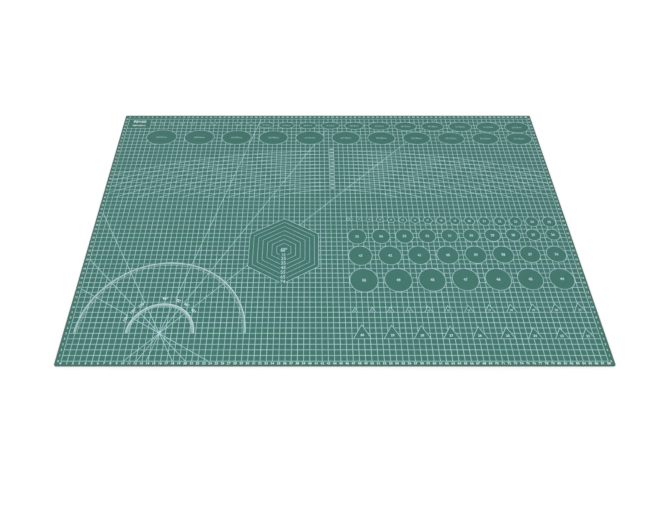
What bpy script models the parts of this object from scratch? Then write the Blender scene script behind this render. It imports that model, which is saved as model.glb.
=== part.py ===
"""Self-healing cutting mat, A1 size, with its printed measuring pattern.

Three plies of PVC are pressed into one board: a stiff core between two soft skins. Pale ink is
screen printed on the top skin: the frame and the main lines of the grid, a protractor with its
two degree scales and its rays, the main radius arcs, and a nest of hexagon outlines.

Metres, +Z up. The origin is under the middle of the mat, on the table. +X runs along the long
side, and +Y runs from the user's edge to the far edge.
"""

import math

import bmesh
import bpy
from mathutils import Vector
from mathutils.geometry import delaunay_2d_cdt

# Overall size, and the plies from the table up
MAT_WIDTH = 0.900
MAT_DEPTH = 0.600
BOTTOM_SKIN = 0.0010
CORE = 0.0010
TOP_SKIN = 0.0010

# Cut outline: corner radius in plan, and the soft arris that the press leaves on each skin
CORNER_RADIUS = 0.0025
CORNER_STEPS = 8
ARRIS = 0.00025
ARRIS_STEPS = 3

# Ink film and the width of every printed line
INK = 0.00005
LINE = 0.0007

# Grid: the bare margin round its frame, how far the whole print lies nearer the user than the
# middle of the mat, and the spacing of its main lines
MARGIN = 0.010
PRINT_FORWARD = 0.0020
MAIN_STEP = 0.050

# Protractor: its centre from the frame's front left corner, and its two degree scales
PROTRACTOR_RIGHT = 0.150
PROTRACTOR_BACK = 0.050
INNER_ARC_RADIUS = 0.0520
OUTER_ARC_RADIUS = 0.1370
INNER_BAND_WIDTH = 0.0046
OUTER_BAND_WIDTH = 0.0055
MARK_WIDTH = 0.0005
MARK_DEGREES = 10
ARC_DEGREES = 5
RAY_DEGREES = (45, 60, 75, 120, 135, 150)
RAY_BREAK = 0.0150

# Hexagon nest: its centre from the frame's front left corner, and its outlines' side lengths
HEXAGON_RIGHT = 0.3520
HEXAGON_BACK = 0.2215
HEXAGON_LARGEST = 0.0740
HEXAGON_NEXT = 0.0650
HEXAGON_STEP = 0.0100
HEXAGON_COUNT = 7

# Each outline is open at its near corner, where its size is printed
HEXAGON_BREAK = 0.0120
BREAK_START = 0.0080

# Main radius arcs: the column that their tops stand in and the line that ends them, both from
# the frame's front left corner, and how each grows and rises from the last
SWEEP_RIGHT = 0.4500
SWEEP_BACK = 0.3500
SWEEP_RADII = (0.5000, 1.0000, 1.5000)
SWEEP_HEIGHTS = (0.0300, 0.0800, 0.1300)
SWEEP_CHORD = 0.0300

# Levels of the flat faces, each shared by the two pieces that meet there
BOTTOM_LEVEL = 0.0
CORE_LEVEL = BOTTOM_SKIN
TOP_LEVEL = CORE_LEVEL + CORE
FACE_LEVEL = TOP_LEVEL + TOP_SKIN
INK_LEVEL = FACE_LEVEL + INK

# The frame's centre line, from its front left to its back right corner
FRAME_LEFT = MARGIN - MAT_WIDTH / 2
FRAME_FRONT = MARGIN - MAT_DEPTH / 2 - PRINT_FORWARD
FRAME_RIGHT = MAT_WIDTH / 2 - MARGIN
FRAME_BACK = MAT_DEPTH / 2 - MARGIN - PRINT_FORWARD

HALF_LINE = LINE / 2


def clear_scene():
    for item in list(bpy.data.objects):
        bpy.data.objects.remove(item, do_unlink=True)


def material(name, colour, roughness, metallic=0.0):
    made = bpy.data.materials.new(name)
    made.use_nodes = True
    shader = made.node_tree.nodes["Principled BSDF"]
    shader.inputs["Base Color"].default_value = (*colour, 1.0)
    shader.inputs["Roughness"].default_value = roughness
    shader.inputs["Metallic"].default_value = metallic
    made.diffuse_color = (*colour, 1.0)
    return made


def finish(name, mesh_edit, surface, collection):
    """One named object from a bmesh, with its material."""
    mesh = bpy.data.meshes.new(name)
    mesh_edit.to_mesh(mesh)
    mesh_edit.free()
    mesh.materials.append(surface)
    piece = bpy.data.objects.new(name, mesh)
    collection.objects.link(piece)
    return piece


def ply(name, low, high, arris_low, arris_high, surface, collection):
    """A sheet with round corners between two levels, its arrises softened where they are open."""
    sheet = bmesh.new()
    bmesh.ops.create_cube(sheet, size=1.0)
    for vert in sheet.verts:
        vert.co.x *= MAT_WIDTH
        vert.co.y *= MAT_DEPTH
        vert.co.z = high if vert.co.z > 0 else low

    corners = [e for e in sheet.edges if abs(e.verts[0].co.z - e.verts[1].co.z) > (high - low) / 2]
    bmesh.ops.bevel(
        sheet,
        geom=corners,
        offset=CORNER_RADIUS,
        offset_type="OFFSET",
        segments=CORNER_STEPS,
        profile=0.5,
        affect="EDGES",
    )
    for level, soft in ((low, arris_low), (high, arris_high)):
        for vert in sheet.verts:
            if abs(vert.co.z - level) < (high - low) / 4:
                vert.co.z = level
        if not soft:
            continue
        rim = [e for e in sheet.edges if all(v.co.z == level for v in e.verts)]
        bmesh.ops.bevel(
            sheet,
            geom=rim,
            offset=ARRIS,
            offset_type="OFFSET",
            segments=ARRIS_STEPS,
            profile=0.5,
            affect="EDGES",
            clamp_overlap=True,
        )
        # The bevel leaves the flat face a rounding error off its level
        for vert in sheet.verts:
            if abs(vert.co.z - level) < ARRIS / 20:
                vert.co.z = level
    bmesh.ops.recalc_face_normals(sheet, faces=sheet.faces)
    piece = finish(name, sheet, surface, collection)
    piece.data.shade_smooth()
    piece.data.set_sharp_from_angle(angle=math.radians(40))
    return piece


def strip(start, end, width=LINE):
    """The outline of a straight printed line."""
    along = (end - start).normalized()
    side = Vector((-along.y, along.x)) * width / 2
    return [start - side, end - side, end + side, start + side]


def box(left, front, right, back):
    return [Vector(p) for p in ((left, front), (right, front), (right, back), (left, back))]


def hexagon(centre, side):
    """A regular hexagon with a corner at the far end."""
    turns = [math.radians(90 + 60 * i) for i in range(6)]
    return [centre + side * Vector((math.cos(t), math.sin(t))) for t in turns]


def band(centre, inner, outer, first, last, steps):
    """Part of a ring, as its outer arc and its inner arc back."""
    turns = [math.radians(first + (last - first) * i / steps) for i in range(steps + 1)]
    points = [centre + outer * Vector((math.cos(t), math.sin(t))) for t in turns]
    points += [centre + inner * Vector((math.cos(t), math.sin(t))) for t in reversed(turns)]
    return points


def ink_film(name, layers, surface, collection):
    """Printed shapes as one film. Each layer is an outline and whether it prints or clears, and a
    later layer lies over the earlier ones."""
    points, outlines = [], []
    for outline, _ in layers:
        outlines.append(range(len(points), len(points) + len(outline)))
        points += outline
    cut = delaunay_2d_cdt(points, [], [list(o) for o in outlines], 1, 1e-6)
    verts, faces, covers = cut[0], cut[2], cut[5]

    film = bmesh.new()
    low = [film.verts.new((v.x, v.y, FACE_LEVEL)) for v in verts]
    for face, cover in zip(faces, covers):
        if cover and layers[max(cover)][1]:
            film.faces.new([low[i] for i in face])
    bmesh.ops.delete(film, geom=[v for v in film.verts if not v.link_faces], context="VERTS")
    raised = bmesh.ops.extrude_face_region(film, geom=film.faces[:])["geom"]
    for vert in (v for v in raised if isinstance(v, bmesh.types.BMVert)):
        vert.co.z = INK_LEVEL
    bmesh.ops.recalc_face_normals(film, faces=film.faces)
    return finish(name, film, surface, collection)


def to_frame(start, angle):
    """The point where a ray from start meets the frame's centre line."""
    way = Vector((math.cos(angle), math.sin(angle)))
    reach = []
    if abs(way.x) > 1e-9:
        reach.append(((FRAME_RIGHT if way.x > 0 else FRAME_LEFT) - start.x) / way.x)
    if abs(way.y) > 1e-9:
        reach.append(((FRAME_BACK if way.y > 0 else FRAME_FRONT) - start.y) / way.y)
    return start + min(reach) * way


def grid_lines():
    """The frame and the main lines, counted from the frame's front left corner."""
    layers = []
    for i in range(int((FRAME_RIGHT - FRAME_LEFT) / MAIN_STEP) + 1):
        x = FRAME_LEFT + i * MAIN_STEP
        if FRAME_RIGHT - x > LINE:
            layers.append(box(x - HALF_LINE, FRAME_FRONT, x + HALF_LINE, FRAME_BACK))
    for i in range(int((FRAME_BACK - FRAME_FRONT) / MAIN_STEP) + 1):
        y = FRAME_FRONT + i * MAIN_STEP
        if FRAME_BACK - y > LINE:
            layers.append(box(FRAME_LEFT, y - HALF_LINE, FRAME_RIGHT, y + HALF_LINE))
    for x in (FRAME_LEFT, FRAME_RIGHT):
        layers.append(
            box(x - HALF_LINE, FRAME_FRONT - HALF_LINE, x + HALF_LINE, FRAME_BACK + HALF_LINE)
        )
    for y in (FRAME_FRONT, FRAME_BACK):
        layers.append(
            box(FRAME_LEFT - HALF_LINE, y - HALF_LINE, FRAME_RIGHT + HALF_LINE, y + HALF_LINE)
        )
    return layers


def protractor():
    """The rays through the centre and the two degree scales."""
    centre = Vector((FRAME_LEFT + PROTRACTOR_RIGHT, FRAME_FRONT + PROTRACTOR_BACK))
    layers = []
    ray_stop = INNER_ARC_RADIUS + INNER_BAND_WIDTH / 2
    ray_again = INNER_ARC_RADIUS + INNER_BAND_WIDTH + RAY_BREAK
    for degrees in RAY_DEGREES:
        angle = math.radians(degrees)
        way = Vector((math.cos(angle), math.sin(angle)))
        layers.append(strip(to_frame(centre, angle + math.pi), centre + ray_stop * way))
        layers.append(strip(centre + ray_again * way, to_frame(centre, angle)))
    steps = round(180 / ARC_DEGREES)
    scales = ((INNER_ARC_RADIUS, INNER_BAND_WIDTH), (OUTER_ARC_RADIUS, OUTER_BAND_WIDTH))
    for radius, width in scales:
        for arc in (radius, radius + width):
            layers.append(band(centre, arc - MARK_WIDTH / 2, arc + MARK_WIDTH / 2, 0, 180, steps))
        for i in range(round(180 / MARK_DEGREES) + 1):
            angle = math.radians(i * MARK_DEGREES)
            way = Vector((math.cos(angle), math.sin(angle)))
            layers.append(
                strip(centre + radius * way, centre + (radius + width) * way, MARK_WIDTH)
            )
    return layers


def radius_arcs():
    """The main arcs for laying out large curves. Each ends on the line below them or at the
    frame's sides."""
    column = FRAME_LEFT + SWEEP_RIGHT
    layers = []
    for radius, height in zip(SWEEP_RADII, SWEEP_HEIGHTS):
        centre = Vector((column, FRAME_FRONT + SWEEP_BACK + height - radius))
        half_chord = math.sqrt(height * (2 * radius - height))
        left = math.asin(min(half_chord, column - FRAME_LEFT) / radius)
        right = math.asin(min(half_chord, FRAME_RIGHT - column) / radius)
        steps = max(2, round((left + right) * radius / SWEEP_CHORD))
        first, last = 90 - math.degrees(right), 90 + math.degrees(left)
        layers.append(band(centre, radius - HALF_LINE, radius + HALF_LINE, first, last, steps))
    return layers


def hexagon_nest():
    """The nest's centre and the side lengths of its outlines, largest first."""
    centre = Vector((FRAME_LEFT + HEXAGON_RIGHT, FRAME_FRONT + HEXAGON_BACK))
    sides = [HEXAGON_LARGEST]
    sides += [HEXAGON_NEXT - i * HEXAGON_STEP for i in range(HEXAGON_COUNT - 1)]
    return centre, [s for s in sides if s > 2 * LINE]


def ring(centre, side):
    """A hexagon's printed outline: the line's outer edge prints, its inner edge clears, and so
    does the break at its near corner."""
    grow = HALF_LINE / math.cos(math.radians(30))
    half_break = HEXAGON_BREAK / 2
    opening = box(
        centre.x - half_break,
        centre.y - side - 2 * LINE,
        centre.x + half_break,
        centre.y - BREAK_START,
    )
    return [
        (hexagon(centre, side + grow), True),
        (hexagon(centre, side - grow), False),
        (opening, False),
    ]


clear_scene()
mat = bpy.data.collections.new("cutting_mat")
bpy.context.scene.collection.children.link(mat)

skin_surface = material("skin_pvc", (0.030, 0.170, 0.138), 0.61)
core_surface = material("core_pvc", (0.050, 0.125, 0.108), 0.50)
ink_surface = material("ink", (0.590, 0.820, 0.850), 0.52)

ply("bottom_skin", BOTTOM_LEVEL, CORE_LEVEL, True, False, skin_surface, mat)
ply("core_ply", CORE_LEVEL, TOP_LEVEL, False, False, core_surface, mat)
ply("top_skin", TOP_LEVEL, FACE_LEVEL, False, True, skin_surface, mat)

nest_centre, nest_sides = hexagon_nest()
printed = [(outline, True) for outline in grid_lines() + radius_arcs() + protractor()]
printed += ring(nest_centre, nest_sides[0])
ink_film("ink_main_lines", printed, ink_surface, mat)
for number, side in enumerate(nest_sides[1:], start=2):
    ink_film(f"ink_hexagon_{number}", ring(nest_centre, side), ink_surface, mat)
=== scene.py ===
"""Looks of the self-healing cutting mat: its PVC surfaces and the whole of its printed pattern.

The row frame is in metres, with the origin under the middle of the mat, +X along the long side
and +Z up. The pattern is laid out in millimetres, in a sheet of the mat's size whose frame has
the same margin on every side. The print lies a little nearer the user than that on the mat, as
the CAD's main lines do, and at() turns a point of the layout into the row frame.
"""

import math

import bmesh
import bpy
from mathutils import Matrix, Vector
from mathutils.geometry import delaunay_2d_cdt


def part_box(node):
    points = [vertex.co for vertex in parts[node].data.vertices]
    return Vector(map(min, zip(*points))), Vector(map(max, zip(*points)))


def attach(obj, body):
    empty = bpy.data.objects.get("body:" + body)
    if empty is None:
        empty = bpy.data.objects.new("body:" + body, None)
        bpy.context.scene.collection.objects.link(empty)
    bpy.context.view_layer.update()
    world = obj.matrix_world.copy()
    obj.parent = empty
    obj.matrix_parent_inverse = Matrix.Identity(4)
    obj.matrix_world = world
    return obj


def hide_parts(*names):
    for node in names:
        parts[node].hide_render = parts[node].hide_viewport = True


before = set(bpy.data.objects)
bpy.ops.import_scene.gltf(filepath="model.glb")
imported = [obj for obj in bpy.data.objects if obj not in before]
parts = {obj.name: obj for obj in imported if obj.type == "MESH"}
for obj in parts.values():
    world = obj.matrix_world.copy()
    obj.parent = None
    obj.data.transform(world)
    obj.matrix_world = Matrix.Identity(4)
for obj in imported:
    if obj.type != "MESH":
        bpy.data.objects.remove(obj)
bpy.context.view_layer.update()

MM = 0.001
SHEET_LOW, SHEET_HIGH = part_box("top_skin")
INK_LOW, INK_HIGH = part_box("ink_main_lines")
FACE_LEVEL = SHEET_HIGH.z
INK_LEVEL = INK_HIGH.z
WIDTH = (SHEET_HIGH.x - SHEET_LOW.x) / MM
DEPTH = (SHEET_HIGH.y - SHEET_LOW.y) / MM
ORIGIN = (INK_LOW + INK_HIGH).xy / 2 - Vector((WIDTH, DEPTH)) * MM / 2

# How far the figures stand above the lines, so that they cover the lines that they cross
OVERPRINT = 0.01 * MM

# All that follows, down to the materials, is in millimetres of the layout. Printed grid:
LINE = 0.9
HALF = LINE / 2
MARGIN = 10
STEP = 10
LEFT, FRONT, RIGHT, BACK = MARGIN, MARGIN, WIDTH - MARGIN, DEPTH - MARGIN
COLUMNS = round((RIGHT - LEFT) / STEP)
ROWS = round((BACK - FRONT) / STEP)

# Figures along the frame: their height, and how far outside it their middles are
LONG_SIDE_FIGURE, FRONT_OFFSET, BACK_OFFSET = 4.2, 3.6, 6.9
SHORT_SIDE_FIGURE, SIDE_OFFSET = 3.6, 4.8

# Radius arcs: their tops stand a step apart in one column, and each runs down to one grid line on
# both sides, or to the frame where it meets that first
RADII = range(400, 1501, 100)
ARC_COLUMN, ARC_END, FIRST_TOP = 460, 360, 380
ARC_FIGURE = 3.7
# Length of the straight pieces that an arc is made of
ARC_CHORD = 8

# Protractor: two scales round a pivot, and rays that are broken where their degrees stand
PIVOT = Vector((160, 60))
RAYS = (45, 60, 75, 120, 135, 150)
BREAK_END, DEGREES_RADIUS, DEGREES_FIGURE = 68, 67, 5.0
# Each scale's radius, its depth and the width of its heavy arc
INNER_SCALE, INNER_DEPTH, INNER_ARC = 56.6, 4.6, 1.4
OUTER_SCALE, OUTER_DEPTH, OUTER_ARC = 142.5, 5.5, 1.15
# Each kind of mark: how many degrees from one to the next, and its length
INNER_MARKS = ((5, INNER_DEPTH), (1, 3.6))
OUTER_MARKS = ((5, OUTER_DEPTH), (1, 3.6), (0.5, 2.2))
# Widths of a scale's light arc and of its marks
LIGHT_ARC, MARK = 0.4, 0.5

# Hexagon nest: its middle and its widest side
NEST = Vector((362, 231.5))
WIDEST = 74
# The break for its sizes: half its width, how far under the middle it starts, and how far under
# the widest hexagon it ends
BREAK_HALF, BREAK_TOP, BREAK_FOOT = 6, 8, 1
# Those sizes: a hexagon's side, how far above its lowest corner the figures are, and their height
NEST_SIZES = (
    (WIDEST, 4.6, 7.4),
    *((side, 5.6, 7.4) for side in range(65, 24, -10)),
    (15, 4.2, 6.2),
)
ANGLE_FIGURE = 9.0

# Rows of circles: their diameters, and the line that their tops stand at
CIRCLES = (
    (range(10, 26), 310),
    (range(35, 25, -1), 280),
    (range(43, 35, -1), 240),
    (range(50, 43, -1), 190),
)
CIRCLES_LEFT, CIRCLES_RIGHT = 480.9, 879.5

# Rows of triangles: their sides, and the line that they stand on
TRIANGLES = ((range(10, 22), 100), (range(30, 21, -1), 50))
TRIANGLES_LEFT, TRIANGLES_RIGHT = 482, 881.5

# Ellipses: their widths and depths, and the two ends of their row. The large ones stand on one
# line, and the middling and small ones all reach back to another.
LARGE = [(across, across - 20) for across in range(65, 54, -1)]
LARGE_LEFT, LARGE_RIGHT, LARGE_FRONT, LARGE_FIGURE = 57.5, 887.5, 510, 4.8
MIDDLING = (
    (32, 18),
    (35, 20),
    (38, 21),
    (40, 22),
    (42, 23),
    (46, 25),
    (48, 27),
    (49, 28),
    (50, 30),
    (51, 32),
    (52, 34),
)
MIDDLING_LEFT, MIDDLING_RIGHT = 298, 888.6
SMALL = [(across, across // 2) for across in range(6, 16)]
SMALL_LEFT, SMALL_RIGHT, SMALL_FIGURE = 64, 287, 3.2
TOP_ROW_BACK = 580

# Steps round a circle and round an ellipse
CIRCLE_STEPS, ELLIPSE_STEPS = 48, 64

# Bare panel at the back left, and its lines of figures: text, place towards the back, and height
PANEL_RIGHT, PANEL_FRONT, PANEL_MIDDLE = 60, 560, 34.5
PANEL_LINES = (("90×60", 582, 8.0), ("900×600×3", 569.5, 4.4))

# How much the strokes of each group's figures are thickened, in shares of a line of text
BOLD = 0.04
WEIGHTS = {
    "numbers_ellipses": 0.0,
    "numbers_triangles": 0.035,
    "numbers_hexagons": 0.02,
    "numbers_left": 0.03,
    "numbers_right": 0.03,
}
# How narrow a group's figures are set, where they aren't at their full width
NARROWED = {
    "numbers_angle": 0.70,
    "numbers_circles": 0.88,
    "numbers_ellipses": 0.78,
    "numbers_hexagons": 0.90,
}

# What is printed with the denser ink, and so is nearly white
DENSE = (
    "print_scales",
    "numbers_arcs",
    "numbers_protractor",
    "numbers_front",
    "numbers_back",
    "numbers_left",
    "numbers_right",
    "numbers_triangles",
    "numbers_panel",
)


# Layout


def at(x, y):
    return ORIGIN + MM * Vector((x, y))


def way(degrees):
    turn = math.radians(degrees)
    return Vector((math.cos(turn), math.sin(turn)))


def box(left, front, right, back):
    return [(left, front), (right, front), (right, back), (left, back)]


def strip(start, end, width=LINE):
    along = (end - start).normalized()
    side = Vector((-along.y, along.x)) * width / 2
    return [start - side, end - side, end + side, start + side]


def band(centre, inner, outer, first, last, steps):
    turns = [first + (last - first) * i / steps for i in range(steps + 1)]
    points = [centre + outer * way(t) for t in turns]
    return points + [centre + inner * way(t) for t in reversed(turns)]


def ellipse(centre, across, deep, steps):
    turns = [way(360 * i / steps) for i in range(steps)]
    return [centre + Vector((across / 2 * t.x, deep / 2 * t.y)) for t in turns]


def polygon(centre, corners, radius):
    return [centre + radius * way(90 + 360 * i / corners) for i in range(corners)]


def spread(sizes, left, right):
    """The middle of each of these widths when they fill a row with equal gaps."""
    gap = (right - left - sum(sizes)) / (len(sizes) - 1)
    middles, edge = [], left
    for size in sizes:
        middles.append(edge + size / 2)
        edge += size + gap
    return middles


layers = []
labels = {}


def prints(outline, group):
    layers.append(([at(*p) for p in outline], group))


def clears(outline):
    layers.append(([at(*p) for p in outline], None))


def ringed(outer, inner, group):
    """A printed outline with bare skin inside it."""
    prints(outer, group)
    clears(inner)


def label(group, text, x, y, height, turn=0.0):
    labels.setdefault(group, []).append((str(text), x, y, height, turn))


def lay_grid():
    for i in range(1, COLUMNS):
        x = LEFT + STEP * i
        prints(box(x - HALF, FRONT, x + HALF, BACK), "print_grid")
    for i in range(1, ROWS):
        y = FRONT + STEP * i
        prints(box(LEFT, y - HALF, RIGHT, y + HALF), "print_grid")
    for x in (LEFT, RIGHT):
        prints(box(x - HALF, FRONT - HALF, x + HALF, BACK + HALF), "print_grid")
    for y in (FRONT, BACK):
        prints(box(LEFT - HALF, y - HALF, RIGHT + HALF, y + HALF), "print_grid")

    for i in range(COLUMNS + 1):
        x = LEFT + STEP * i
        label("numbers_front", i, x, FRONT - FRONT_OFFSET, LONG_SIDE_FIGURE)
        label("numbers_back", i, x, BACK + BACK_OFFSET, LONG_SIDE_FIGURE)
    for i in range(ROWS + 1):
        y = FRONT + STEP * i
        label("numbers_left", i, LEFT - SIDE_OFFSET, y, SHORT_SIDE_FIGURE)
        label("numbers_right", i, RIGHT + SIDE_OFFSET, y, SHORT_SIDE_FIGURE)


def lay_radius_arcs():
    for i, radius in enumerate(RADII):
        top = FIRST_TOP + STEP * i
        reach = math.degrees(math.acos(1 - (top - ARC_END) / radius))
        to_left = min(reach, math.degrees(math.asin(min(1, (ARC_COLUMN - LEFT) / radius))))
        to_right = min(reach, math.degrees(math.asin(min(1, (RIGHT - ARC_COLUMN) / radius))))
        centre = Vector((ARC_COLUMN, top - radius))
        steps = round(math.radians(to_left + to_right) * radius / ARC_CHORD)
        arc = band(centre, radius - HALF, radius + HALF, 90 - to_right, 90 + to_left, steps)
        prints(arc, "print_radius_arcs")
        label("numbers_arcs", radius, ARC_COLUMN - STEP / 2, top + STEP / 2, ARC_FIGURE)


def to_frame(start, angle):
    """The point where a ray from start meets the frame."""
    ray = way(angle)
    reach = []
    if abs(ray.x) > 1e-9:
        reach.append(((RIGHT if ray.x > 0 else LEFT) - start.x) / ray.x)
    if abs(ray.y) > 1e-9:
        reach.append(((BACK if ray.y > 0 else FRONT) - start.y) / ray.y)
    return start + min(reach) * ray


def lay_scale(radius, deep, heavy, marks):
    """A heavy arc with marks running in from it, the longest to a light arc that lies deep inside.

    Each kind of mark stands every so many degrees, with its own length.
    """
    for arc, line in ((radius, heavy), (radius - deep, LIGHT_ARC)):
        prints(band(PIVOT, arc - line / 2, arc + line / 2, 0, 180, 90), "print_scales")
    placed = set()
    for every, length in marks:
        for i in range(1, round(180 / every)):
            if every * i not in placed:
                placed.add(every * i)
                ray = way(every * i)
                mark = strip(PIVOT + (radius - length) * ray, PIVOT + radius * ray, MARK)
                prints(mark, "print_scales")


def lay_protractor():
    for angle in RAYS:
        ray = way(angle)
        inside = PIVOT + (INNER_SCALE - INNER_DEPTH) * ray
        prints(strip(to_frame(PIVOT, angle + 180), inside), "print_rays")
        prints(strip(PIVOT + BREAK_END * ray, to_frame(PIVOT, angle)), "print_rays")
    lay_scale(INNER_SCALE, INNER_DEPTH, INNER_ARC, INNER_MARKS)
    lay_scale(OUTER_SCALE, OUTER_DEPTH, OUTER_ARC, OUTER_MARKS)
    for angle in sorted((90, *RAYS)):
        beside = angle + 5 * (angle > 90) - 5 * (angle < 90)
        spot = PIVOT + DEGREES_RADIUS * way(beside)
        label("numbers_protractor", f"{angle}°", spot.x, spot.y, DEGREES_FIGURE, beside - 90)


def lay_hexagons():
    """The nest's outermost hexagon, and its sizes, down the break in the CAD's inner outlines."""
    grow = HALF / math.cos(math.radians(30))
    ringed(polygon(NEST, 6, WIDEST + grow), polygon(NEST, 6, WIDEST - grow), "print_grid")
    foot, top = NEST.y - WIDEST - BREAK_FOOT, NEST.y - BREAK_TOP
    clears(box(NEST.x - BREAK_HALF, foot, NEST.x + BREAK_HALF, top))
    for side, rise, height in NEST_SIZES:
        label("numbers_hexagons", side, NEST.x, NEST.y - side + rise, height)
    label("numbers_angle", "60°", NEST.x, NEST.y, ANGLE_FIGURE)


def lay_circles():
    for sizes, top in CIRCLES:
        for size, x in zip(sizes, spread(sizes, CIRCLES_LEFT, CIRCLES_RIGHT)):
            middle = Vector((x, top - size / 2))
            ringed(
                ellipse(middle, size + LINE, size + LINE, CIRCLE_STEPS),
                ellipse(middle, size - LINE, size - LINE, CIRCLE_STEPS),
                "print_grid",
            )
            label("numbers_circles", size, middle.x, middle.y, min(5.8, 2.0 + size * 0.15))


def lay_triangles():
    for sizes, base in TRIANGLES:
        for size, x in zip(sizes, spread(sizes, TRIANGLES_LEFT, TRIANGLES_RIGHT)):
            middle = Vector((x, base + size / math.sqrt(12)))
            radius = size / math.sqrt(3)
            ringed(
                polygon(middle, 3, radius + LINE),
                polygon(middle, 3, radius - LINE),
                "print_grid",
            )
            height = min(4.4, 0.6 + size * 0.17)
            label("numbers_triangles", size, x, middle.y - size * 0.06, height)


def in_row(shapes, left, right):
    """Each of these ellipses with the place of its middle along the row."""
    return zip(shapes, spread([across for across, _ in shapes], left, right))


def lay_ellipse(x, y, across, deep):
    middle = Vector((x, y))
    ringed(
        ellipse(middle, across + LINE, deep + LINE, ELLIPSE_STEPS),
        ellipse(middle, across - LINE, deep - LINE, ELLIPSE_STEPS),
        "print_grid",
    )


def lay_ellipses():
    for (across, deep), x in in_row(LARGE, LARGE_LEFT, LARGE_RIGHT):
        y = LARGE_FRONT + deep / 2
        lay_ellipse(x, y, across, deep)
        label("numbers_ellipses", f"{across}×{deep}mm", x, y, LARGE_FIGURE)

    for (across, deep), x in in_row(MIDDLING, MIDDLING_LEFT, MIDDLING_RIGHT):
        y = TOP_ROW_BACK - deep / 2
        lay_ellipse(x, y, across, deep)
        label("numbers_ellipses", f"{across}×{deep}mm", x, y, 2.6 + 0.035 * across)

    for (across, deep), x in in_row(SMALL, SMALL_LEFT, SMALL_RIGHT):
        lay_ellipse(x, TOP_ROW_BACK - deep / 2, across, deep)
        y = TOP_ROW_BACK - deep - 4
        label("numbers_ellipses", f"{across}×{deep}", x, y, SMALL_FIGURE)


def lay_size_panel():
    """A bare panel in the grid, with the mat's size in plain numbers."""
    clears(box(LEFT + HALF, PANEL_FRONT + HALF, PANEL_RIGHT - HALF, BACK - HALF))
    for text, y, height in PANEL_LINES:
        label("numbers_panel", text, PANEL_MIDDLE, y, height)


lay_grid()
lay_radius_arcs()
lay_protractor()
lay_hexagons()
lay_circles()
lay_triangles()
lay_ellipses()
lay_size_panel()


# Materials


class Surface:
    """A Principled material and the few kinds of node that the mat's finishes need."""

    def __init__(self, name, ior):
        self.material = bpy.data.materials.new(name)
        self.material.use_nodes = True
        self.tree = self.material.node_tree
        self.shader = self.tree.nodes["Principled BSDF"]
        self.shader.inputs["IOR"].default_value = ior
        self.place = self.node("ShaderNodeTexCoord").outputs["Object"]

    def node(self, kind, inputs=None, **settings):
        made = self.tree.nodes.new(kind)
        for key, value in settings.items():
            setattr(made, key, value)
        for key, value in (inputs or {}).items():
            if isinstance(value, bpy.types.NodeSocket):
                self.tree.links.new(value, made.inputs[key])
            else:
                made.inputs[key].default_value = value
        return made

    def stretched(self, scale, turn=0.0):
        inputs = {
            "Vector": self.place,
            "Scale": scale,
            "Rotation": (0, 0, math.radians(turn)),
        }
        return self.node("ShaderNodeMapping", inputs, vector_type="TEXTURE").outputs["Vector"]

    def noise(self, scale, detail=2.0, roughness=0.5, vector=None):
        inputs = {
            "Vector": vector or self.place,
            "Scale": scale,
            "Detail": detail,
            "Roughness": roughness,
        }
        return self.node("ShaderNodeTexNoise", inputs).outputs["Fac"]

    def spread(self, value, low, high, to_low=0.0, to_high=1.0):
        inputs = {
            "Value": value,
            "From Min": low,
            "From Max": high,
            "To Min": to_low,
            "To Max": to_high,
        }
        return self.node("ShaderNodeMapRange", inputs).outputs["Result"]

    def math(self, operation, a, b=0.0):
        made = self.node("ShaderNodeMath", {0: a, 1: b}, operation=operation)
        return made.outputs["Value"]

    def mix(self, share, a, b):
        inputs = {"Factor": share, "A": a, "B": b}
        made = self.tree.nodes.new("ShaderNodeMix")
        made.data_type = "RGBA"
        for key, value in inputs.items():
            socket = next(s for s in made.inputs if s.name == key and s.enabled)
            if isinstance(value, bpy.types.NodeSocket):
                self.tree.links.new(value, socket)
            else:
                socket.default_value = value if key == "Factor" else (*value, 1.0)
        return next(s for s in made.outputs if s.enabled)

    def bump(self, height, strength, distance, normal=None):
        inputs = {"Height": height, "Strength": strength, "Distance": distance}
        if normal:
            inputs["Normal"] = normal
        return self.node("ShaderNodeBump", inputs).outputs["Normal"]

    def set(self, **sockets):
        for name, value in sockets.items():
            self.tree.links.new(value, self.shader.inputs[name.replace("_", " ")])


def shade(tint, share, lift=0.0):
    return tuple(share * c + lift for c in tint)


def pebble(surface):
    """The fine pebble that the press leaves, about 0.6 mm from grain to grain."""
    return surface.node(
        "ShaderNodeTexVoronoi",
        {"Vector": surface.place, "Scale": 1700.0, "Smoothness": 0.5},
        feature="SMOOTH_F1",
    ).outputs["Distance"]


def grain(surface, cells):
    """How deep a point lies in the pebble, with a finer tooth on it."""
    fine = surface.noise(5200.0, 2.0, 0.6)
    return surface.math("ADD", cells, surface.math("MULTIPLY", fine, 0.5))


def knife_marks(surface):
    """Long faint lines in a few directions, where cuts have closed again."""
    total = None
    for turn, along, across, width in (
        (11, 0.9, 0.0016, 0.020),
        (67, 0.6, 0.0014, 0.018),
        (129, 0.7, 0.0015, 0.020),
    ):
        lines = surface.noise(1.0, 1.0, 0.4, surface.stretched((along, across, 1.0), turn))
        off_line = surface.math("ABSOLUTE", surface.math("SUBTRACT", lines, 0.66))
        mark = surface.spread(off_line, 0.0, width, 1.0, 0.0)
        total = mark if total is None else surface.math("MAXIMUM", total, mark)
    where = surface.spread(surface.noise(7.0, 2.0), 0.50, 0.66)
    return surface.math("MULTIPLY", total, where)


def inset(surface):
    """How far a point of the top face lies in from the nearest cut edge, in metres."""
    place = surface.node("ShaderNodeSeparateXYZ", {"Vector": surface.place}).outputs
    across = surface.math("SUBTRACT", SHEET_HIGH.x, surface.math("ABSOLUTE", place["X"]))
    deep = surface.math("SUBTRACT", SHEET_HIGH.y, surface.math("ABSOLUTE", place["Y"]))
    return surface.math("MINIMUM", across, deep)


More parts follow.
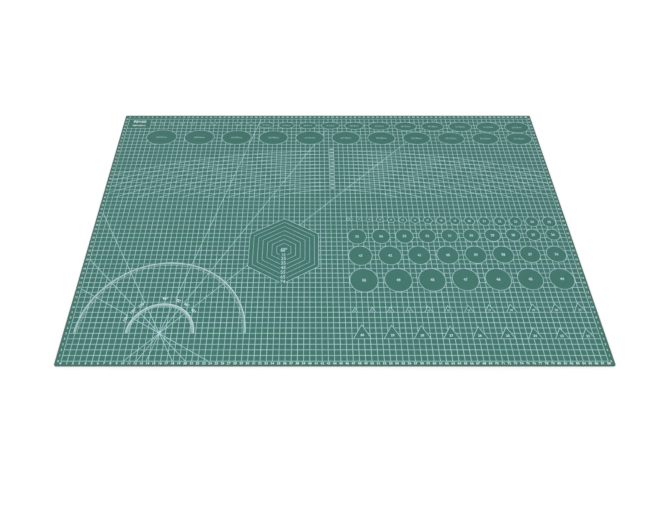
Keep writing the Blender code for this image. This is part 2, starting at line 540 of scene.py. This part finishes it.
def pressed_colour(made, tint, cells):
    """The sheet's green: slightly cloudy, with a painted highlight on the pebble's grains and
    painted shade in its pits, and with small pale flecks."""
    clouds = made.spread(made.noise(6.0, 4.0, 0.55), 0.35, 0.65)
    colour = made.mix(clouds, shade(tint, 0.91), shade(tint, 1.09))
    # Painted highlight on the pebble's grains and painted shade in its pits, standing in for the
    # shading of its relief
    off_grain_highlight = made.spread(cells, 0.10, 0.55, 0.0, 0.55)
    colour = made.mix(off_grain_highlight, shade(tint, 1.20), colour)
    pit_shade = made.spread(cells, 0.25, 0.60, 0.0, 0.50)
    colour = made.mix(pit_shade, colour, shade(tint, 0.55))
    fleck = made.spread(made.noise(420.0, 2.0, 0.6), 0.66, 0.74, 0.0, 0.30)
    return made.mix(fleck, colour, shade(tint, 1.5, 0.02))


def edge_colour(made, tint, pale, colour):
    """This colour on the faces, worn pale on the arris, and on the cut a darker, greyer green
    streaked by the blade: partly the cut's own colour, partly painted shade for the upright sides'
    lesser light.
    """
    normal = made.node("ShaderNodeNewGeometry").outputs["Normal"]
    upright = made.node("ShaderNodeSeparateXYZ", {"Vector": normal}).outputs["Z"]
    upright = made.math("ABSOLUTE", upright)
    worn = made.math(
        "MULTIPLY",
        made.math("MULTIPLY", made.spread(upright, 0.99, 0.90), made.spread(upright, 0.2, 0.5)),
        made.spread(made.noise(140.0, 4.0, 0.65), 0.45, 0.65, 0.0, 0.6),
    )
    colour = made.mix(worn, colour, pale)
    # The cut faces: blade streaks over a darker, greyer green, partly the cut's own colour and
    # partly painted shade for the upright sides' lesser light
    drawn = made.stretched((0.0006, 0.0006, 0.02))
    streak = made.spread(made.noise(1.0, 3.0, 0.6, drawn), 0.3, 0.7)
    cut = made.mix(streak, shade(tint, 0.42, 0.016), shade(tint, 0.58, 0.030))
    return made.mix(made.spread(upright, 0.60, 0.30), colour, cut)


def skin_surface(name, tint):
    """Soft PVC: even green with a slight cloudiness, matt pebble, worn at its edges, with painted
    shade in a dark band along its cut edges and on the cut faces.
    """
    made = Surface(name, 1.46)
    cells = pebble(made)
    marks = knife_marks(made)
    pale = shade(tint, 0.75, 0.11)
    colour = pressed_colour(made, tint, cells)
    colour = made.mix(made.math("MULTIPLY", marks, 0.30), colour, pale)
    # Painted shade: a dark band about 1.4 mm wide, with a ragged inner edge, along the sheet's cut
    # edges
    ragged = made.math("MULTIPLY", made.noise(900.0, 3.0, 0.6), 0.0012)
    painted_edge_shade = made.spread(made.math("SUBTRACT", inset(made), ragged), 0.0014, 0.0, 0.0, 0.85)
    colour = made.mix(painted_edge_shade, colour, shade(tint, 0.50, 0.026))
    colour = edge_colour(made, tint, pale, colour)

    rough = made.spread(made.noise(34.0, 3.0, 0.6), 0.3, 0.7, 0.56, 0.66)
    rough = made.math("SUBTRACT", rough, made.math("MULTIPLY", marks, 0.10))
    rough = made.math("SUBTRACT", rough, made.math("MULTIPLY", painted_edge_shade, 0.08))
    normal = made.bump(made.math("SUBTRACT", 1.0, grain(made, cells)), 0.70, 0.00009)
    normal = made.bump(made.math("SUBTRACT", 1.0, marks), 0.35, 0.00008, normal)
    made.set(Base_Color=colour, Roughness=rough, Normal=normal)
    return made.material


def core_surface():
    """The stiff ply, of which only the cut edge shows."""
    made = Surface("core_pvc", 1.5)
    streak = made.noise(1.0, 4.0, 0.6, made.stretched((0.0004, 0.0004, 0.03)))
    light = made.spread(streak, 0.3, 0.7)
    made.set(
        Base_Color=made.mix(light, (0.040, 0.105, 0.090), (0.062, 0.145, 0.125)),
        Roughness=made.spread(streak, 0.3, 0.7, 0.42, 0.58),
        Normal=made.bump(streak, 0.4, 0.00005),
    )
    return made.material


def ink_surface(name, full, thin):
    """Pale screen print, a little thin and uneven, with the skin's pebble showing through it."""
    made = Surface(name, 1.48)
    pinholes = made.math("MULTIPLY", made.noise(2600.0, 2.0), 0.8)
    cover = made.math("ADD", made.noise(24.0, 3.0, 0.6), pinholes)
    colour = made.mix(made.spread(cover, 0.72, 1.12, 0.0, 0.8), full, thin)
    cuts = made.math("MULTIPLY", knife_marks(made), 0.4)
    made.set(
        Base_Color=made.mix(cuts, colour, (0.20, 0.38, 0.33)),
        Roughness=made.spread(made.noise(300.0, 2.0), 0.3, 0.7, 0.46, 0.58),
        Normal=made.bump(made.math("SUBTRACT", 1.0, grain(made, pebble(made))), 0.40, 0.00007),
    )
    return made.material


skin = skin_surface("skin_pvc", (0.040, 0.191, 0.152))
under = skin_surface("skin_pvc_under", (0.036, 0.177, 0.141))
core = core_surface()
ink = ink_surface("ink", (0.52, 0.82, 0.86), (0.33, 0.60, 0.61))
dense_ink = ink_surface("ink_dense", (0.70, 0.90, 0.90), (0.52, 0.74, 0.73))
surfaces = {"top_skin": skin, "core_ply": core, "bottom_skin": under}
for node, piece in parts.items():
    piece.data.materials.clear()
    piece.data.materials.append(surfaces.get(node, ink))


# Printed films


def film(name, verts, faces, level=INK_LEVEL):
    """A flat printed shape raised to the thickness of the ink, as one closed mesh.

    Parts of it that touch in a single point are separated there.
    """
    shape = bmesh.new()
    low = [shape.verts.new((v[0], v[1], FACE_LEVEL)) for v in verts]
    for face in faces:
        shape.faces.new([low[i] for i in face])
    bmesh.ops.delete(shape, geom=[v for v in shape.verts if not v.link_faces], context="VERTS")
    for vert in shape.verts[:]:
        rims = [edge for edge in vert.link_edges if edge.is_boundary]
        if len(rims) > 2:
            bmesh.utils.vert_separate(vert, rims)
    raised = bmesh.ops.extrude_face_region(shape, geom=shape.faces[:])["geom"]
    for vert in (v for v in raised if isinstance(v, bmesh.types.BMVert)):
        vert.co.z = level
    bmesh.ops.recalc_face_normals(shape, faces=shape.faces)
    mesh = bpy.data.meshes.new(name)
    shape.to_mesh(mesh)
    shape.free()
    mesh.materials.append(dense_ink if name in DENSE else ink)
    piece = bpy.data.objects.new(name, mesh)
    bpy.context.scene.collection.objects.link(piece)
    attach(piece, "root")
    return piece


def print_films():
    """All line work. A later layer lies over the earlier ones, and where printed lines cross, the
    crossing belongs to the first of them."""
    points, outlines = [], []
    for outline, _ in layers:
        outlines.append(list(range(len(points), len(points) + len(outline))))
        points += outline
    cut = delaunay_2d_cdt(points, [], outlines, 1, 1e-6)
    verts, faces, covers = cut[0], cut[2], cut[5]
    groups = {}
    for face, cover in zip(faces, covers):
        owner = None
        for index in sorted(cover):
            group = layers[index][1]
            if group is None:
                owner = None
            elif owner is None:
                owner = group
        if owner:
            groups.setdefault(owner, []).append(face)
    return {name: film(name, verts, found) for name, found in groups.items()}


def thicken(shape, weight):
    """Move every outline of a flat mesh outwards by weight, with mitred corners."""
    moves = []
    for vert in shape.verts:
        rims = [edge for edge in vert.link_edges if edge.is_boundary]
        if len(rims) != 2:
            continue
        sides = []
        for edge in rims:
            start, end = (v.co.to_2d() for v in edge.verts)
            side = Vector((start.y - end.y, end.x - start.x)).normalized()
            inward = edge.link_faces[0].calc_center_median().to_2d() - start
            sides.append(-side if side.dot(inward) > 0 else side)
        share = max(0.5, 1 + sides[0].dot(sides[1]))
        moves.append((vert, weight / share * (sides[0] + sides[1])))
    for vert, move in moves:
        vert.co.xy += move


def flat_text(text, weight):
    """A line of figures as a flat mesh, its strokes thickened by weight on each side."""
    curve = bpy.data.curves.new("figures", "FONT")
    curve.body = text
    curve.align_x = "CENTER"
    curve.resolution_u = 3
    curve.space_character = 1.06 + 0.6 * weight
    writer = bpy.data.objects.new("figures", curve)
    bpy.context.scene.collection.objects.link(writer)
    bpy.context.view_layer.update()
    shown = writer.evaluated_get(bpy.context.evaluated_depsgraph_get())
    mesh = bpy.data.meshes.new_from_object(shown)
    bpy.data.objects.remove(writer, do_unlink=True)
    bpy.data.curves.remove(curve)
    shape = bmesh.new()
    shape.from_mesh(mesh)
    bpy.data.meshes.remove(mesh)
    bmesh.ops.remove_doubles(shape, verts=shape.verts, dist=0.005)
    thicken(shape, weight)
    shape.verts.index_update()
    points = [v.co.to_2d() for v in shape.verts]
    faces = [[v.index for v in f.verts] for f in shape.faces]
    shape.free()
    return points, faces


def number_films():
    """Each group of figures as one film, every line of text centred on its own spot."""
    for name, entries in labels.items():
        weight = WEIGHTS.get(name, BOLD)
        narrow = NARROWED.get(name, 1.0)
        zero = flat_text("0", weight)[0]
        foot, head = min(p.y for p in zero), max(p.y for p in zero)
        texts, verts, faces = {}, [], []
        for text, x, y, height, turn in entries:
            if text not in texts:
                points, polygons = flat_text(text, weight)
                ends = min(p.x for p in points), max(p.x for p in points)
                middle = Vector((sum(ends) / 2, (head + foot) / 2))
                points = [(p - middle) / (head - foot) for p in points]
                texts[text] = [Vector((narrow * p.x, p.y)) for p in points], polygons
            points, polygons = texts[text]
            turned = Matrix.Rotation(math.radians(turn), 2)
            start = len(verts)
            verts += [at(*(Vector((x, y)) + turned @ (height * p))) for p in points]
            faces += [[start + i for i in face] for face in polygons]
        film(name, verts, faces, INK_LEVEL + OVERPRINT)


lines = print_films()
number_films()
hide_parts("ink_main_lines")


# Studio

WHITE = (1.0, 1.0, 1.0, 1.0)


def white_to_camera(tree, lit, white):
    """Plain white to the camera and in reflections, and the lit shader to all other rays."""
    path = tree.nodes.new("ShaderNodeLightPath")
    seen = path.outputs["Is Camera Ray"]
    for kind in ("Is Glossy Ray", "Is Transmission Ray"):
        either = tree.nodes.new("ShaderNodeMath")
        either.operation = "MAXIMUM"
        tree.links.new(seen, either.inputs[0])
        tree.links.new(path.outputs[kind], either.inputs[1])
        seen = either.outputs["Value"]
    mixed = tree.nodes.new("ShaderNodeMixShader")
    tree.links.new(seen, mixed.inputs["Fac"])
    tree.links.new(lit, mixed.inputs[1])
    tree.links.new(white, mixed.inputs[2])
    return mixed.outputs["Shader"]


def studio():
    world = bpy.data.worlds.new("studio")
    world.use_nodes = True
    bpy.context.scene.world = world
    tree = world.node_tree
    lit = tree.nodes["Background"]
    lit.inputs["Color"].default_value = WHITE
    lit.inputs["Strength"].default_value = 0.60
    white = tree.nodes.new("ShaderNodeBackground")
    white.inputs["Color"].default_value = WHITE
    white.inputs["Strength"].default_value = 1.0
    shown = white_to_camera(tree, lit.outputs["Background"], white.outputs["Background"])
    tree.links.new(shown, tree.nodes["World Output"].inputs["Surface"])

    lamp = bpy.data.lights.new("softbox", "AREA")
    lamp.shape = "RECTANGLE"
    lamp.size, lamp.size_y = 1.6, 1.2
    lamp.energy = 9.5
    softbox = bpy.data.objects.new("softbox", lamp)
    softbox.location = (-0.10, -0.75, 1.45)
    softbox.rotation_euler = (-softbox.location).to_track_quat("-Z", "Y").to_euler()
    bpy.context.scene.collection.objects.link(softbox)


def floor():
    """A pale floor that keeps the shadow. To the camera a white glow, fainter near the mat than
    where the lamp doesn't reach, lifts it to white."""
    shape = bmesh.new()
    bmesh.ops.create_grid(shape, x_segments=1, y_segments=1, size=6.0)
    mesh = bpy.data.meshes.new("floor")
    shape.to_mesh(mesh)
    shape.free()
    mesh.transform(Matrix.Translation((0, 0, -0.3 * MM)))
    surface = bpy.data.materials.new("floor")
    surface.use_nodes = True
    tree = surface.node_tree
    tree.nodes.clear()
    matt = tree.nodes.new("ShaderNodeBsdfDiffuse")
    matt.inputs["Color"].default_value = (0.80, 0.80, 0.80, 1.0)
    place = tree.nodes.new("ShaderNodeTexCoord")
    distance = tree.nodes.new("ShaderNodeVectorMath")
    distance.operation = "DISTANCE"
    brightest = (-0.05, -0.35, 0.0)
    distance.inputs[1].default_value = brightest
    tree.links.new(place.outputs["Object"], distance.inputs[0])
    graded = tree.nodes.new("ShaderNodeMapRange")
    tree.links.new(distance.outputs["Value"], graded.inputs["Value"])
    ends = {"From Min": 0.3, "From Max": 1.4, "To Min": 0.29, "To Max": 0.54}
    for name, value in ends.items():
        graded.inputs[name].default_value = value
    glow = tree.nodes.new("ShaderNodeEmission")
    tree.links.new(graded.outputs["Result"], glow.inputs["Strength"])
    both = tree.nodes.new("ShaderNodeAddShader")
    tree.links.new(matt.outputs["BSDF"], both.inputs[0])
    tree.links.new(glow.outputs["Emission"], both.inputs[1])
    shown = white_to_camera(tree, matt.outputs["BSDF"], both.outputs["Shader"])
    output = tree.nodes.new("ShaderNodeOutputMaterial")
    tree.links.new(shown, output.inputs["Surface"])
    mesh.materials.append(surface)
    piece = bpy.data.objects.new("floor", mesh)
    bpy.context.scene.collection.objects.link(piece)


def camera():
    """The photograph's view, worked out from the mat's four corners in it."""
    lens = bpy.data.cameras.new("camera")
    lens.sensor_width = 36.0
    lens.lens = 30.125
    lens.shift_x = 0.0318
    lens.clip_start, lens.clip_end = 0.01, 100.0
    view = bpy.data.objects.new("camera", lens)
    view.location = (-0.0390, -0.6720, 0.8286)
    looks_down = 54.3
    view.rotation_euler = (math.radians(90 - looks_down), 0, 0)
    bpy.context.scene.collection.objects.link(view)
    bpy.context.scene.camera = view


studio()
floor()
camera()
bpy.context.scene.view_settings.view_transform = "Standard"
